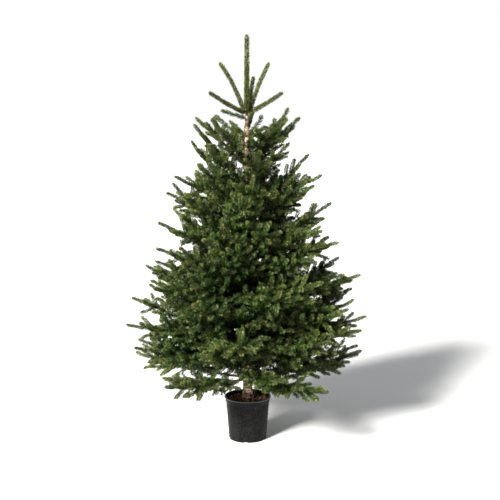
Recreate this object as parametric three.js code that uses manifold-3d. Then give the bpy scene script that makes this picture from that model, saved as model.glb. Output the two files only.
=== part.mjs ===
// A young Norway spruce growing in a plain nursery pot: a living Christmas tree.
// Millimetres, +Z up. The origin is the centre of the pot's flat underside, and -Y is the tree's front.
// The trunk runs whole from the soil to the bud of its leader. Six whorls of five boughs stand on it, one
// whorl for each year, and above them the youngest, unbranched shoots round the leader. Each whorl's foliage
// is five separate fans, one for each bough, set round the trunk with open sectors between them.
import * as THREE from "three";
import { mergeVertices } from "three/addons/utils/BufferGeometryUtils.js";
import Module from "manifold-3d";

// ---------------------------------------------------------------- driving dimensions

const TREE_HEIGHT = 2047; // underside of the pot to the tip of the leader
const GAP = 0.4; // between pieces that meet

const POT = {
  height: 225,
  rimRadius: 120,
  wallTopRadius: 112.5, // outside of the wall under the lip
  footRadius: 95.5, // outside of the wall at the ground
  wall: 2.5,
  lipDepth: 9, // height of the rolled lip
  collarDepth: 17, // band under the lip
  collarStep: 1.8, // how far the band stands out
  floor: 3,
  segments: 36,
};
const NOTCH = { count: 5, firstTurn: -97, width: 20, height: 7, depth: 10 }; // drainage notches in the foot's edge

const SOIL = {
  top: 207, // level round the trunk
  edgeDrop: 4, // how much lower it lies at the pot's wall
  edgeClearance: 1.5, // between its upper edge and the wall
  shoulder: 8, // how far in from its edge the top starts to round down
  shoulderDrop: 4,
  unevenness: 2.2,
  flatRadius: 42, // level patch that the trunk stands on
  sides: 30,
};

const TRUNK = {
  footRadius: 26, // above the root flare
  topRadius: 9.5, // under the top whorl
  leaderRadius: 6, // just above the top whorl
  tipRadius: 2.4,
  flare: 7, // how much the roots widen the foot
  flareHeight: 26,
  flareLobes: 5,
  lobeDepth: 0.14, // share of the radius that the root lobes stand out at the soil
  sway: 4, // sideways wander of the stem
  budRadius: 1, // blunt end of the leader's bud
  budLength: 6,
  sides: 10,
  flareRings: [0, 9, 24, 50], // heights above the soil of the rings that follow the flare
  stemRings: 13, // rings from the flare to the top whorl
  leaderDrop: 14, // height in which the stem thins to the leader above the top whorl
  leaderRings: 4,
};

const TOP_WHORL_HEIGHT = 1668; // where the leader and the shoots round it start
const SHOOT_RADIUS = 11.5; // stem and pressed needles together

// The outline of a leafy shoot as [share of its length, share of SHOOT_RADIUS].
const SHOOT_OUTLINE = [
  [0, 0.35],
  [0.06, 0.5],
  [0.22, 0.85],
  [0.42, 1],
  [0.62, 1],
  [0.82, 0.95],
  [0.96, 0.8],
  [1, 0.3],
];
const SHOOT_SIDES = 7;

// The leader's pressed needles: from foot to tip, as heights, with the same kind of outline.
const LEADER_NEEDLES = { foot: 1716, tip: 2020, sides: 8, clearance: 0.8 };
const LEADER_OUTLINE = [
  [0, 0.78],
  [0.1, 0.9],
  [0.28, 1],
  [0.48, 1],
  [0.68, 0.95],
  [0.87, 0.9],
  [1, 0.6],
];

// The shoots round the leader: direction, and the tip's distance from the trunk and height. bow: how
// far the middle stands above the straight line, as a share of the shoot; below it where negative.
const TOP_SHOOTS = [
  { turn: 20, reach: 112, tipHeight: 1909, bow: 0.07 },
  { turn: 64, reach: 70, tipHeight: 1842, bow: 0.03 },
  { turn: 165, reach: 134, tipHeight: 1909, bow: 0.1 },
  { turn: 205, reach: 195, tipHeight: 1764, bow: -0.06 },
  { turn: 270, reach: 128, tipHeight: 1901, bow: 0.06 },
  { turn: 335, reach: 187, tipHeight: 1764, bow: -0.06 },
];

// The whorls, lowest first. height: where the boughs leave the trunk. reach: from the trunk's middle to the
// tips. rise: tip above foot. arch: how far the middle of a bough stands above the straight line to its tip.
// bare: where the needles start, measured from the trunk's middle, or 0 where they start at the bark.
// width and thickness: the half-sizes of the foliage across the bough. limb: the bough's radius at its foot.
const WHORLS = [
  { height: 318, reach: 622, rise: 84, arch: 4, bare: 115, width: 245, thickness: 100, limb: 8.0 },
  { height: 512, reach: 622, rise: 112, arch: 8, bare: 105, width: 250, thickness: 110, limb: 8.0 },
  { height: 712, reach: 564, rise: 134, arch: 14, bare: 85, width: 240, thickness: 122, limb: 7.2 },
  { height: 935, reach: 456, rise: 178, arch: 14, bare: 60, width: 210, thickness: 126, limb: 6.2 },
  { height: 1172, reach: 374, rise: 188, arch: 10, bare: 0, width: 172, thickness: 118, limb: 0 },
  { height: 1412, reach: 272, rise: 226, arch: 4, bare: 0, width: 128, thickness: 102, limb: 0 },
];
const BOUGHS_PER_WHORL = 5;
const FIRST_TURN = 18; // degrees, of the lowest whorl
const WHORL_TURN = 28.8; // degrees from each whorl to the next, so boughs stand over gaps
const TURN_WANDER = 3; // degrees, bough by bough
const REACH_WANDER = 0.035; // share of the reach, bough by bough
const BARK_CLEARANCE = 1.5; // between the trunk and what grows from it

const LIMB = {
  stations: 5,
  sides: 7,
  taper: 0.78, // radius where the needles start, as a share of the foot's
  collar: 0.35, // share by which the foot swells at the trunk
};

const FAN = {
  stations: 11, // cross-sections from foot to tip
  limbFootSize: 11, // half-size where a fan starts on a bare bough
  barkFootSize: 5, // and where it starts at the bark
  tipSize: 7,
  widening: { share: 0.2, power: 0.8, taper: 0.75 }, // how the width grows from the foot, and its taper
  deepening: { share: 0.22, power: 0.7, taper: 0.55 }, // and the same for the thickness
  sectorMargin: 2,
  sweep: 0.9, // side shoots point forward by this share of their sideways length
  lift: 0.55, // and upper and lower ones by this share of their height
  sectorHalfAngle: 31.5, // degrees that a fan may fill on each side of its bough
  notchDepth: 0.3, // how far the outline steps in between side shoots
  droop: 0.16, // how far the side shoots hang, as a share of their sideways length
  unevenness: 0.12,
};

// ---------------------------------------------------------------- helpers

const wasm = await Module();
wasm.setup();

const tree = new THREE.Group();
const UP = new THREE.Vector3(0, 0, 1);
const degrees = THREE.MathUtils.degToRad;
const mix = THREE.MathUtils.lerp;

// A repeatable value from -1 to 1 for any set of whole numbers.
function wander(...seeds) {
  const sum = seeds.reduce((total, seed, i) => total + (seed + 1) * (12.9898 + 65.3 * i), 0);
  const raw = Math.sin(sum) * 43758.5453;
  return (raw - Math.floor(raw)) * 2 - 1;
}

// One closed surface with shared corners, no empty triangles and its faces pointing out.
function closed(geometry) {
  const bare = geometry.clone();
  bare.deleteAttribute("normal");
  bare.deleteAttribute("uv");
  const merged = mergeVertices(bare, 1e-3);
  const corner = merged.getAttribute("position");
  const index = [];
  let volume = 0;
  for (let i = 0; i < merged.index.count; i += 3) {
    const [a, b, c] = [0, 1, 2].map((k) => merged.index.getX(i + k));
    if (a === b || b === c || c === a) continue;
    const [p, q, r] = [a, b, c].map((n) => new THREE.Vector3().fromBufferAttribute(corner, n));
    volume += p.dot(q.cross(r));
    index.push(a, b, c);
  }
  if (volume < 0) index.reverse();
  merged.setIndex(index);
  merged.computeVertexNormals();
  return merged;
}

function addMesh(name, geometry, material) {
  const mesh = new THREE.Mesh(closed(geometry), material);
  mesh.name = name;
  tree.add(mesh);
}

function toManifold(geometry) {
  const shape = closed(geometry);
  return new wasm.Manifold(
    new wasm.Mesh({
      numProp: 3,
      vertProperties: new Float32Array(shape.getAttribute("position").array),
      triVerts: new Uint32Array(shape.index.array),
    }),
  );
}

function fromManifold(solid) {
  const made = solid.getMesh();
  const geometry = new THREE.BufferGeometry();
  geometry.setAttribute("position", new THREE.BufferAttribute(made.vertProperties, 3));
  geometry.setIndex(Array.from(made.triVerts));
  return geometry;
}

// A skin over rings of points, each with the same count. Its ends are closed by fans, or, as a sleeve, its
// last ring is joined to its first.
function loft(rings, sleeve = false) {
  const sides = rings[0].length;
  const points = rings.flat();
  const index = [];
  const spans = sleeve ? rings.length : rings.length - 1;
  for (let i = 0; i < spans; i += 1) {
    const next = (i + 1) % rings.length;
    for (let j = 0; j < sides; j += 1) {
      const k = (j + 1) % sides;
      const [a, b] = [i * sides + j, i * sides + k];
      const [c, d] = [next * sides + j, next * sides + k];
      index.push(a, b, d, a, d, c);
    }
  }
  if (!sleeve) {
    for (const [ring, flip] of [[0, true], [rings.length - 1, false]]) {
      const middle = points.length;
      points.push(rings[ring].reduce((sum, p) => sum.add(p), new THREE.Vector3()).divideScalar(sides));
      for (let j = 0; j < sides; j += 1) {
        const [a, b] = [ring * sides + j, ring * sides + ((j + 1) % sides)];
        index.push(...(flip ? [middle, b, a] : [middle, a, b]));
      }
    }
  }
  return new THREE.BufferGeometry().setFromPoints(points).setIndex(index);
}

// A round ring of points at a centre, across a direction.
function ring(centre, direction, radius, sides) {
  const turn = new THREE.Quaternion().setFromUnitVectors(UP, direction);
  return Array.from({ length: sides }, (_, j) => {
    const angle = (j / sides) * 2 * Math.PI;
    return new THREE.Vector3(Math.cos(angle) * radius, Math.sin(angle) * radius, 0)
      .applyQuaternion(turn)
      .add(centre);
  });
}

// A turned shape about the Z axis from [radius, height] points.
function turned(profile, segments) {
  const points = profile.map(([radius, height]) => new THREE.Vector2(radius, height));
  return new THREE.LatheGeometry(points, segments).rotateX(Math.PI / 2);
}

function arc(centreR, centreZ, radius, from, to, steps) {
  return Array.from({ length: steps + 1 }, (_, i) => {
    const angle = degrees(mix(from, to, i / steps));
    return [centreR + Math.cos(angle) * radius, centreZ + Math.sin(angle) * radius];
  });
}

// ---------------------------------------------------------------- materials

const plain = (color, roughness) => new THREE.MeshStandardMaterial({ color, roughness, metalness: 0 });
const potPlastic = plain(0x2c2c2d, 0.5);
const soilMulch = plain(0x4a3423, 0.95);
const bark = plain(0x8c6f4d, 0.9);
const oldFoliage = plain(0x3f5229, 0.8);
const youngFoliage = plain(0x62703a, 0.8);

// ---------------------------------------------------------------- pot and soil

function wallRadius(height) {
  return mix(POT.footRadius, POT.wallTopRadius, height / (POT.height - POT.lipDepth));
}

function pot() {
  const lip = POT.lipDepth / 2;
  const collarFoot = POT.height - POT.lipDepth - POT.collarDepth;
  const lipCentre = POT.rimRadius - lip;
  const profile = [
    [0, 0],
    [POT.footRadius, 0],
    [wallRadius(collarFoot), collarFoot],
    [wallRadius(collarFoot) + POT.collarStep, collarFoot + POT.collarStep],
    [POT.wallTopRadius + POT.collarStep, POT.height - POT.lipDepth],
    ...arc(lipCentre, POT.height - lip, lip, -60, 90, 5),
    [POT.wallTopRadius - POT.wall, POT.height],
    [POT.footRadius - POT.wall, POT.floor],
    [0, POT.floor],
  ];
  const cut = new THREE.BoxGeometry(NOTCH.depth * 2, NOTCH.width, NOTCH.height * 2);
  let body = toManifold(turned(profile, POT.segments));
  for (let i = 0; i < NOTCH.count; i += 1) {
    const angle = degrees(NOTCH.firstTurn + (360 / NOTCH.count) * i);
    const placed = cut.clone().rotateZ(angle);
    placed.translate(Math.cos(angle) * POT.footRadius, Math.sin(angle) * POT.footRadius, 0);
    body = body.subtract(toManifold(placed));
  }
  return fromManifold(body);
}

// The root ball fills the pot. Its top is level under the trunk and uneven out to the wall.
function rootBall() {
  const edgeTop = SOIL.top - SOIL.edgeDrop;
  const edge = wallRadius(edgeTop) - POT.wall - 2 * GAP - SOIL.edgeClearance;
  const footRadius = POT.footRadius - POT.wall - 4 * GAP;
  const round = (radius, height, rough, seed) =>
    Array.from({ length: SOIL.sides }, (_, j) => {
      const angle = (j / SOIL.sides) * 2 * Math.PI;
      const z = height + rough * wander(seed, j);
      return new THREE.Vector3(Math.cos(angle) * radius, Math.sin(angle) * radius, z);
    });
  return loft([
    round(footRadius, POT.floor + GAP, 0, 0),
    round(edge, edgeTop - SOIL.shoulderDrop, 0, 1),
    round(edge - SOIL.shoulder, edgeTop, SOIL.unevenness, 2),
    round(mix(SOIL.flatRadius, edge, 0.5), SOIL.top - SOIL.edgeDrop / 2, SOIL.unevenness, 3),
    round(SOIL.flatRadius, SOIL.top, 0, 4),
  ]);
}

// ---------------------------------------------------------------- trunk

const TRUNK_FOOT = SOIL.top + GAP;

// The stem's middle at a height: a slow wander that is nothing at the soil.
function trunkCentre(height) {
  const u = (height - TRUNK_FOOT) / (TREE_HEIGHT - TRUNK_FOOT);
  const x = -TRUNK.sway * Math.sin(u * 2.1);
  const y = TRUNK.sway * 0.7 * Math.sin(u * 4.4);
  return new THREE.Vector3(x, y, height);
}

function trunkRadius(height) {
  if (height > TOP_WHORL_HEIGHT) {
    const u = (height - TOP_WHORL_HEIGHT) / (TREE_HEIGHT - TOP_WHORL_HEIGHT);
    return mix(TRUNK.leaderRadius, TRUNK.tipRadius, u);
  }
  const u = (height - TRUNK_FOOT) / (TOP_WHORL_HEIGHT - TRUNK_FOOT);
  const flare = TRUNK.flare * Math.exp(-(height - TRUNK_FOOT) / TRUNK.flareHeight);
  return mix(TRUNK.footRadius, TRUNK.topRadius, u) + flare;
}

function trunk() {
  const heights = TRUNK.flareRings.map((above) => TRUNK_FOOT + above);
  const stemFoot = heights.at(-1);
  for (let i = 1; i <= TRUNK.stemRings; i += 1) {
    heights.push(mix(stemFoot, TOP_WHORL_HEIGHT, i / TRUNK.stemRings));
  }
  const leaderFoot = TOP_WHORL_HEIGHT + TRUNK.leaderDrop;
  for (let i = 0; i <= TRUNK.leaderRings; i += 1) {
    heights.push(mix(leaderFoot, TREE_HEIGHT - TRUNK.budLength, i / TRUNK.leaderRings));
  }
  const rings = heights.map((height) => {
    const lobes = TRUNK.lobeDepth * Math.exp(-(height - TRUNK_FOOT) / TRUNK.flareHeight);
    const centre = trunkCentre(height);
    return Array.from({ length: TRUNK.sides }, (_, j) => {
      const angle = (j / TRUNK.sides) * 2 * Math.PI;
      const radius = trunkRadius(height) * (1 + lobes * Math.cos(TRUNK.flareLobes * angle));
      const out = new THREE.Vector3(Math.cos(angle) * radius, Math.sin(angle) * radius, 0);
      return out.add(centre);
    });
  });
  rings.push(ring(trunkCentre(TREE_HEIGHT), UP, TRUNK.budRadius, TRUNK.sides));
  return loft(rings);
}

// ---------------------------------------------------------------- leader and top shoots

// The leader's pressed needles: a sleeve round the stem that leaves the bud free.
function leaderNeedles() {
  const { foot, tip, sides, clearance } = LEADER_NEEDLES;
  const round = (share, radius) => {
    const height = mix(foot, tip, share);
    return ring(trunkCentre(height), UP, radius(height), sides);
  };
  const outer = LEADER_OUTLINE.map(([share, bulk]) => round(share, () => SHOOT_RADIUS * bulk));
  const inner = LEADER_OUTLINE.map(([share]) => round(share, (height) => trunkRadius(height) + clearance));
  return loft([...outer, ...inner.reverse()], true);
}

// A leafy shoot, thin at its foot and rounded at its tip.
function topShoot({ turn, reach, tipHeight, bow }) {
  const start = TRUNK.topRadius + SHOOT_RADIUS / 2;
  const rise = tipHeight - TOP_WHORL_HEIGHT;
  const out = new THREE.Vector3(Math.cos(degrees(turn)), Math.sin(degrees(turn)), 0);
  const at = (distance, height) =>
    out.clone().multiplyScalar(distance).add(trunkCentre(height).setZ(height));
  const route = new THREE.QuadraticBezierCurve3(
    at(start, TOP_WHORL_HEIGHT),
    at(mix(start, reach, 0.5 - bow), TOP_WHORL_HEIGHT + rise * (0.5 + bow)),
    at(reach, tipHeight),
  );
  return loft(
    SHOOT_OUTLINE.map(([share, bulk]) =>
      ring(route.getPoint(share), route.getTangent(share), SHOOT_RADIUS * bulk, SHOOT_SIDES),
    ),
  );
}

// ---------------------------------------------------------------- boughs and foliage

// The direction, reach and curve of one bough. z(distance) is the height of its middle line.
function boughLine(whorl, w, b) {
  const turn = FIRST_TURN + WHORL_TURN * w + (360 / BOUGHS_PER_WHORL) * b + TURN_WANDER * wander(w, b, 1);
  const reach = whorl.reach * (1 + REACH_WANDER * wander(w, b, 2));
  const out = new THREE.Vector3(Math.cos(degrees(turn)), Math.sin(degrees(turn)), 0);
  const across = new THREE.Vector3(-out.y, out.x, 0);
  const foot = trunkCentre(whorl.height);
  const start = trunkRadius(whorl.height) + BARK_CLEARANCE;
  const z = (distance) => {
    const u = (distance - start) / (reach - start);
    return whorl.height + whorl.rise * u + whorl.arch * 4 * u * (1 - u);
  };
  const at = (distance, sideways, lift) =>
    out
      .clone()
      .multiplyScalar(distance)
      .addScaledVector(across, sideways)
      .add(new THREE.Vector3(foot.x, foot.y, z(distance) + lift));
  return { reach, start, z, at };
}

// The bare limb between the trunk and the needles.
function bough(whorl, line) {
  const end = whorl.bare - GAP;
  return loft(
    Array.from({ length: LIMB.stations }, (_, i) => {
      const u = i / (LIMB.stations - 1);
      const distance = mix(line.start, end, u);
      const slope = line.z(distance + 1) - line.z(distance);
      const swelling = 1 + LIMB.collar * (1 - u) ** 4;
      const radius = mix(whorl.limb, whorl.limb * LIMB.taper, u) * swelling;
      const upright = radius * Math.hypot(1, slope);
      return Array.from({ length: LIMB.sides }, (__, j) => {
        const angle = (j / LIMB.sides) * 2 * Math.PI;
        return line.at(distance, Math.cos(angle) * radius, Math.sin(angle) * upright);
      });
    }),
  );
}

// One fan of foliage: upright cross-sections along the bough, swept forward at their sides like the side
// shoots, wide and narrow in turn so that the outline is fingered, thin at the edges and hanging a little.
const SECTION = [
  [1, 0],
  [0.62, 0.72],
  [0.05, 1],
  [-0.58, 0.76],
  [-1, 0],
  [-0.6, -0.74],
  [0, -1],
  [0.56, -0.7],
];

function fan(whorl, line, w, b) {
  const foot = whorl.bare > 0 ? whorl.bare : line.start;
  const footSize = whorl.bare > 0 ? FAN.limbFootSize : FAN.barkFootSize;
  const grown = (u, { share, power, taper }) => Math.min(1, u / share) ** power * (1 - u) ** taper;
  const tanHalf = Math.tan(degrees(FAN.sectorHalfAngle));
  const last = FAN.stations - 1;
  return loft(
    Array.from({ length: FAN.stations }, (_, i) => {
      const u = i / last;
      const distance = mix(foot, line.reach, u);
      const ahead = line.reach - distance;
      const step = i % 2 === 1 ? 1 : 1 - FAN.notchDepth;
      const opening = grown(u, FAN.widening) * step;
      const deepening = grown(u, FAN.deepening) * step;
      const sector = (distance * tanHalf) / (1 - FAN.sweep * tanHalf) - FAN.sectorMargin;
      const least = i === 0 ? footSize : FAN.tipSize;
      const rough = i === 0 || i === last ? 0 : FAN.unevenness;
      return SECTION.map(([sideways, lift], j) => {
        const wide = whorl.width * opening * (1 + rough * wander(w, b, i, j));
        const deep = whorl.thickness * deepening * (1 + rough * wander(w, b, i, j + 20));
        const across = Math.max(Math.min(wide, sector, ahead / FAN.sweep), least) * sideways;
        const height = Math.max(Math.min(deep, ahead / FAN.lift), least) * lift;
        const sweep = Math.hypot(across * FAN.sweep, height * FAN.lift);
        const forward = i === 0 || i === last ? 0 : Math.min(sweep, ahead);
        return line.at(distance + forward, across, height - FAN.droop * Math.abs(across));
      });
    }),
  );
}

// ---------------------------------------------------------------- the tree

addMesh("pot", pot(), potPlastic);
addMesh("root_ball", rootBall(), soilMulch);
addMesh("trunk", trunk(), bark);
addMesh("leader_needles", leaderNeedles(), youngFoliage);
TOP_SHOOTS.forEach((shoot, i) => addMesh(`top_shoot_${i + 1}`, topShoot(shoot), youngFoliage));

WHORLS.forEach((whorl, w) => {
  for (let b = 0; b < BOUGHS_PER_WHORL; b += 1) {
    const line = boughLine(whorl, w, b);
    const label = `${w + 1}_${b + 1}`;
    if (whorl.bare > 0) addMesh(`bough_${label}`, bough(whorl, line), bark);
    addMesh(`foliage_${label}`, fan(whorl, line, w, b), oldFoliage);
  }
});

export default tree;
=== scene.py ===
"""Looks for a young Norway spruce in a nursery pot. Metres, +Z up, the tree's front towards -Y.

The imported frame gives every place: the pot, the soil, the stem and the five boughs of each whorl. The foliage
grows on from those boughs by a seeded rule: an axis carries side shoots in pairs, these carry shorter ones,
and the outermost year of every axis is unbranched, clothed with needles and closed by a bud.
"""

import math

import bpy
import bmesh
import numpy as np
from mathutils import Matrix, Vector, noise


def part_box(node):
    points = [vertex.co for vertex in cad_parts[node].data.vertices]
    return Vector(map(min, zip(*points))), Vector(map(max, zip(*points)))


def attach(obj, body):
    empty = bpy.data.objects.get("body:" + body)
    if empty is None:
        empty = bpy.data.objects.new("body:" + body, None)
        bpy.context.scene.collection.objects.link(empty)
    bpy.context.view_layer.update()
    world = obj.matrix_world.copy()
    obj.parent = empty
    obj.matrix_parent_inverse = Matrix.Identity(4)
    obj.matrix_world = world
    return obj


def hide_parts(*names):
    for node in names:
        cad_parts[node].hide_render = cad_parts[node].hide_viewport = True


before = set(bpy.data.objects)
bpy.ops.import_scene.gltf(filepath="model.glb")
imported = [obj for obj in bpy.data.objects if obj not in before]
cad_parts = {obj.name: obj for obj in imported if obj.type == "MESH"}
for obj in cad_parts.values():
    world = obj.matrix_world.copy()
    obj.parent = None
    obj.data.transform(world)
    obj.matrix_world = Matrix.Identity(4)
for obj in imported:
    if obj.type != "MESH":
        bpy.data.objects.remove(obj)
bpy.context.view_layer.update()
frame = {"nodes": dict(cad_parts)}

SEED = 19
UP = np.array([0.0, 0.0, 1.0])
GOLDEN = math.radians(137.508)
ROOT = "root"

# The camera stands level with the top shoots and looks down by its pitch in degrees. The lens is in mm.
CAMERA = dict(distance=5.2, height=1.745, aside=0.012, pitch=8.37, lens=75.0)

BOUGHS_PER_WHORL = 5
WEAK_BOUGHS = [5, 5, 5, 5, 3, 0]  # in the gaps between each whorl's strong ones
INTERNODE_BOUGHS = [16, 16, 14, 10, 6, 6]  # between each whorl and the next, or the top shoots
STEM_SHOOT_SPACING = 0.022  # short leafy shoots along the stem inside the crown

# How an axis of each order bears side shoots: the spacing of the pairs, the angle they make with it, the mean
# and spread of their tilt out of its plane, the least length of its unbranched last year, and the (chance,
# strength) of one more shoot above and below each pair. Angles are in degrees.
ORDERS = [
    dict(spacing=0.052, angle=50, tilt=4, spread=16, last_year=0.122, above=(0.45, 0.8), below=(0.6, 0.8)),
    dict(spacing=0.046, angle=48, tilt=3, spread=14, last_year=0.100, above=(0.12, 0.8), below=(0.15, 0.7)),
    dict(spacing=0.042, angle=45, tilt=3, spread=14, last_year=0.075, above=(0.0, 0.0), below=(0.0, 0.0)),
]
SPARSENESS = [1.0, 1.0, 1.0, 1.0, 1.2, 1.8]  # of side shoots, by whorl: the youngest boughs bear few
RISES = [7, 12, 19, 27, 34, 44]  # degrees above level of the boughs between whorls, from the lowest whorl up
SHOOT_SHARE = 0.8  # a side shoot's length beside its axis's last year, where no more than that lies beyond it
LENGTH_POWER = 0.64  # side shoots grow with the length of axis beyond them, to this power
SHORTEST_SHOOT = 0.052
BRANCHING_LENGTH = 0.10  # shorter side shoots bear none of their own
LEAFY_SHELL = 0.36  # how deep inside the crown's skin side shoots live on
HANG = 0.060  # how far below the lowest boughs' feet shoots may reach

NEEDLE = dict(length=0.0152, width=0.0033, shoulder=0.70, outer_per_metre=3000, inner_per_metre=1150)
NEEDLE_TRIANGLES = 800_000  # at most, apart from the top shoots
FOLDED_DEPTH = 0.05  # from 0 at the skin to 1: needles less deep are folded kites, and the others half kites
PIECE_TRIANGLES = 190_000  # at most in one piece of needles
YOUNG_LENGTH = 0.006  # of the yellower needles at a shoot's tip
TUFT_NEEDLES = 13  # neighbours along a shoot that share a shade: painted shade, the plain green or a painted highlight
TWIG_TIP_RADIUS = 0.0012
BUD_SIDES = 4
NOTCHES = 5
FIRST_NOTCH = -97  # degrees round the pot
CHIPS = 620  # of bark on the soil


# ---------------- reading the frame


def cad_points(*names):
    """The corners of CAD nodes, as one array."""
    found = []
    for name in names:
        vertices = frame["nodes"][name].data.vertices
        co = np.empty(len(vertices) * 3)
        vertices.foreach_get("co", co)
        found.append(co.reshape(-1, 3))
    return np.vstack(found)


def stem_profile():
    """Heights, middles and mean radii of the CAD trunk's rings."""
    points = cad_points("trunk")
    level = np.round(points[:, 2], 4)
    heights, rows = [], []
    for height in np.unique(level):
        ring = points[level == height]
        if len(ring) < 6:
            continue
        middle = ring[:, :2].mean(0)
        radius = np.hypot(*(ring[:, :2] - middle).T).mean()
        heights.append(height)
        rows.append((middle[0], middle[1], radius))
    return np.array(heights), np.array(rows)


STEM_HEIGHTS, STEM_ROWS = stem_profile()


def stem(height):
    """x, y and radius of the stem at a height."""
    return [np.interp(height, STEM_HEIGHTS, STEM_ROWS[:, k]) for k in range(3)]


def foot_and_tip(*names):
    """The ends of a bough or shoot: its points nearest to the stem's middle and furthest from it."""
    points = cad_points(*names)
    x, y, _ = stem(points[:, 2])
    away = np.hypot(points[:, 0] - x, points[:, 1] - y)
    near = points[away < away.min() + 0.004].mean(0)
    far = points[away > away.max() - 0.004].mean(0)
    return near, far, away.min()


def read_whorls():
    """For each whorl, a list of the (foot, tip, distance without needles) of its boughs."""
    nodes = frame["nodes"]
    whorls = []
    while f"foliage_{len(whorls) + 1}_1" in nodes:
        boughs = []
        for b in range(1, BOUGHS_PER_WHORL + 1):
            label = f"{len(whorls) + 1}_{b}"
            names = [n for n in (f"foliage_{label}", f"bough_{label}") if n in nodes]
            foot, tip, _ = foot_and_tip(*names)
            boughs.append((foot, tip, foot_and_tip(names[0])[2]))
        whorls.append(boughs)
    return whorls


WHORLS = read_whorls()
TOP_SHOOTS = sorted(n for n in frame["nodes"] if n.startswith("top_shoot_"))
TREE_TOP = cad_points("trunk")[:, 2].max()
SOIL_TOP = cad_points("trunk")[:, 2].min()


# Means over the boughs of each whorl.
FOOT_HEIGHTS = [np.mean([foot[2] for foot, _, _ in whorl]) for whorl in WHORLS]
TIP_HEIGHTS = [np.mean([tip[2] for _, tip, _ in whorl]) for whorl in WHORLS]
TIP_REACHES = [np.mean([math.hypot(tip[0], tip[1]) for _, tip, _ in whorl]) for whorl in WHORLS]
LOWEST_TURNS = [math.atan2(tip[1], tip[0]) for _, tip, _ in WHORLS[0]]


def crown_reach(height):
    """How far the crown reaches from its middle at a height: to the whorls' tips, and less past them."""
    heights = [TIP_HEIGHTS[0] - 0.16, *TIP_HEIGHTS, TIP_HEIGHTS[-1] + 0.15]
    reaches = [TIP_REACHES[0] * 0.7, *TIP_REACHES, TIP_REACHES[-1] * 0.6]
    return np.interp(height, heights, reaches)


# ---------------- meshes from arrays


def linked(name, data):
    """A new object in the scene with this mesh, light or camera."""
    thing = bpy.data.objects.new(name, data)
    bpy.context.scene.collection.objects.link(thing)
    return thing


def mesh_piece(name, points, faces, materials, picks=None, smooth=False):
    """A mesh object from arrays of points and of faces with 3 or 4 corners. picks gives their materials."""
    mesh = bpy.data.meshes.new(name)
    faces = np.ascontiguousarray(faces, np.int32)
    sides = faces.shape[1]
    mesh.vertices.add(len(points))
    mesh.vertices.foreach_set("co", np.ascontiguousarray(points, np.float32).ravel())
    mesh.loops.add(faces.size)
    mesh.loops.foreach_set("vertex_index", faces.ravel())
    mesh.polygons.add(len(faces))
    mesh.polygons.foreach_set("loop_start", np.arange(0, faces.size, sides, dtype=np.int32))
    if picks is not None:
        mesh.polygons.foreach_set("material_index", np.ascontiguousarray(picks, np.int32))
    mesh.polygons.foreach_set("use_smooth", np.full(len(faces), smooth))
    mesh.update(calc_edges=True)
    for material in materials:
        mesh.materials.append(material)
    return linked(name, mesh)


def grid_faces(rows, columns):
    """Quads between neighbouring rows of a grid of points, the columns going round."""
    r, c = (i.ravel() for i in np.meshgrid(np.arange(rows - 1), np.arange(columns), indexing="ij"))
    d = (c + 1) % columns
    return np.stack([r * columns + c, r * columns + d, (r + 1) * columns + d, (r + 1) * columns + c], 1)


def unit(v):
    return v / np.maximum(np.linalg.norm(v, axis=-1, keepdims=True), 1e-12)


def cross_frame(tangent):
    """Two directions across each tangent: the first as near upright as it can be, the second level."""
    reference = np.where(np.abs(tangent[..., 2:3]) > 0.9, np.array([0.0, -1.0, 0.0]), UP)
    side = unit(np.cross(tangent, reference))
    return np.cross(side, tangent), side


def turns(sides):
    """Even angles for a full circle."""
    return np.arange(sides) * 2 * math.pi / sides


def rings(path, radii, sides):
    """Rings of points round a path, each point's direction from it, and a point one radius past its end."""
    tangent = unit(np.gradient(path, axis=0))
    over, side = cross_frame(tangent)
    angle = turns(sides)[None, :, None]
    ring = np.cos(angle) * over[:, None] + np.sin(angle) * side[:, None]
    return path[:, None] + ring * radii[:, None, None], ring, path[-1] + tangent[-1] * radii[-1]


def tube(skin, tip, foot=None):
    """Points and triangles of a tube from its rings, closed at its tip, and at its foot if that is given."""
    rows, sides = skin.shape[:2]
    quads = grid_faces(rows, sides)
    around = np.arange(sides)
    following = (around + 1) % sides
    last = (rows - 1) * sides
    ends = [tip]
    count = rows * sides
    faces = [quads[:, [0, 1, 2]], quads[:, [0, 2, 3]]]
    faces.append(np.stack([last + around, last + following, np.full(sides, count)], 1))
    if foot is not None:
        ends.append(foot)
        faces.append(np.stack([following, around, np.full(sides, count + 1)], 1))
    return np.vstack([skin.reshape(-1, 3), *ends]), np.vstack(faces)


def joined(parts):
    """One pair of points and faces from several."""
    points, faces, start = [], [], 0
    for p, f in parts:
        points.append(p)
        faces.append(f + start)
        start += len(p)
    return np.vstack(points), np.vstack(faces)


# ---------------- materials


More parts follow.
